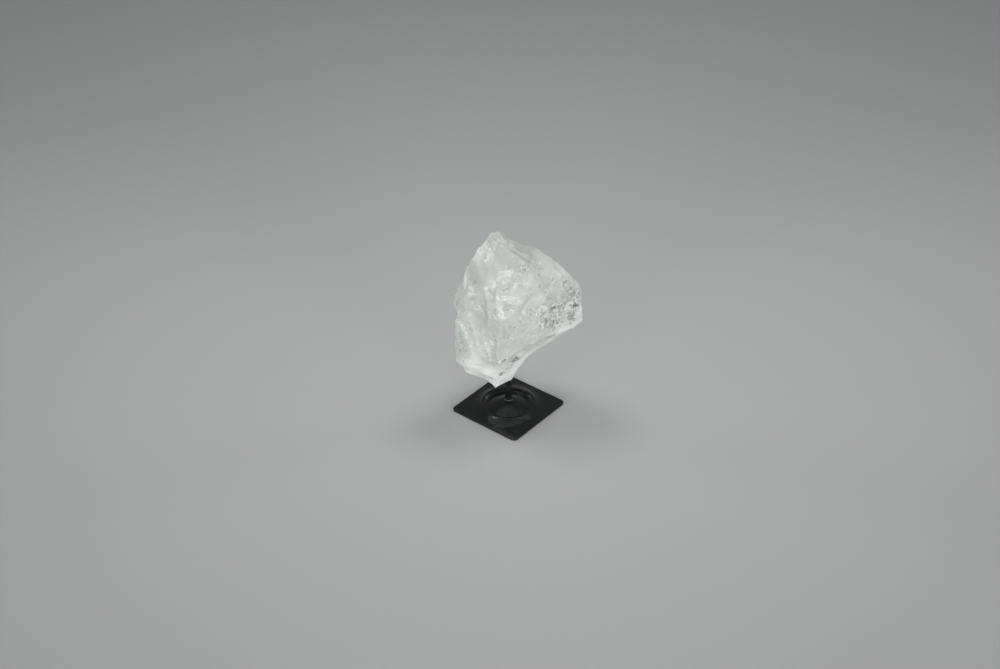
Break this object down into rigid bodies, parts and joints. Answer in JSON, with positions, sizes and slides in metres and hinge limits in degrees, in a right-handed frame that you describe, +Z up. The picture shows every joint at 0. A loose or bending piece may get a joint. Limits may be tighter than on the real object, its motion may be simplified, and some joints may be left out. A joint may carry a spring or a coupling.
{
  "type": "rough lemurian quartz crystal on a pin stand",
  "caption": "Broken piece of clear to milky quartz, held upright on a steel pin above a square black plate with a raised ring and a low cone.",
  "frame": {"origin": "centre of the stand plate's flat underside, on the pin's axis", "axes": "+Z up along the pin, +X to the right and +Y away, seen from the side that the quartz shows"},
  "size_m": [0.1186, 0.1034, 0.1922],
  "materials": {
    "quartz": "clear to milky natural quartz, rough broken faces, shiny on fresh shell-like fractures",
    "black_paint": "satin to gloss black paint on steel"
  },
  "bodies": {
    "root": {"quartz_crystal": "quartz", "pin": "black_paint", "stand_plate": "black_paint"}
  },
  "joints": []
}
